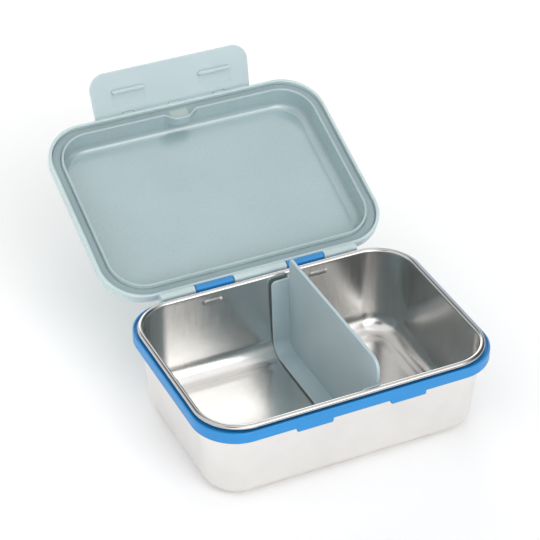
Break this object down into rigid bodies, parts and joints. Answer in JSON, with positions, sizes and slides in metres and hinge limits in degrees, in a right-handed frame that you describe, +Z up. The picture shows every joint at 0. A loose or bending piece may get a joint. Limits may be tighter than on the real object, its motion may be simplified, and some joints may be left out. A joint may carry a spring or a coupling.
{
  "type": "lunch box",
  "caption": "Rectangular stainless-steel lunch box with a clip-on plastic rim frame, a hinged domed lid with a seal, a front latch flap and a sliding divider.",
  "frame": {"origin": "centre of the tub's flat underside, which rests on the table", "axes": "+Z up, +X along the long side to the right, +Y from the latch side to the lid's hinge"},
  "size_m": [0.1794, 0.2614, 0.1264],
  "materials": {
    "steel": "stainless steel with a fine satin surface, brighter along the rolled rim and the pressed corners",
    "blue_plastic": "injection-moulded sky-blue plastic with a soft sheen",
    "lid_plastic": "pale grey-blue moulded plastic with a fine matt texture",
    "silicone": "soft grey-blue silicone, matt and slightly translucent",
    "pin_steel": "plain drawn wire",
    "flap_plastic": "pale grey-blue moulded plastic, a little lighter and more translucent than the lid",
    "divider_plastic": "grey-blue moulded plastic with a soft satin surface"
  },
  "bodies": {
    "tub": {"steel_tub": "steel", "rim_frame": "blue_plastic"},
    "lid": {"lid_shell": "lid_plastic", "lid_gasket": "silicone", "hinge_pin_left": "pin_steel", "hinge_pin_right": "pin_steel", "latch_pin": "pin_steel"},
    "latch": {"latch_flap": "flap_plastic"},
    "divider": {"divider": "divider_plastic"}
  },
  "joints": [
    {"name": "lid_hinge", "type": "hinge", "parent": "tub", "child": "lid", "pos_m": [0, 0.0663, 0.0523], "axis": [1, 0, 0], "range_deg": [0, 157.2]},
    {"name": "latch_hinge", "type": "hinge", "parent": "lid", "child": "latch", "pos_m": [0, 0.18917, 0.09961], "axis": [1, 0, 0], "range_deg": [-70, 40]},
    {"name": "divider_slide", "type": "slide", "parent": "tub", "child": "divider", "axis": [1, 0, 0], "range_m": [-0.0635, 0.045]}
  ]
}
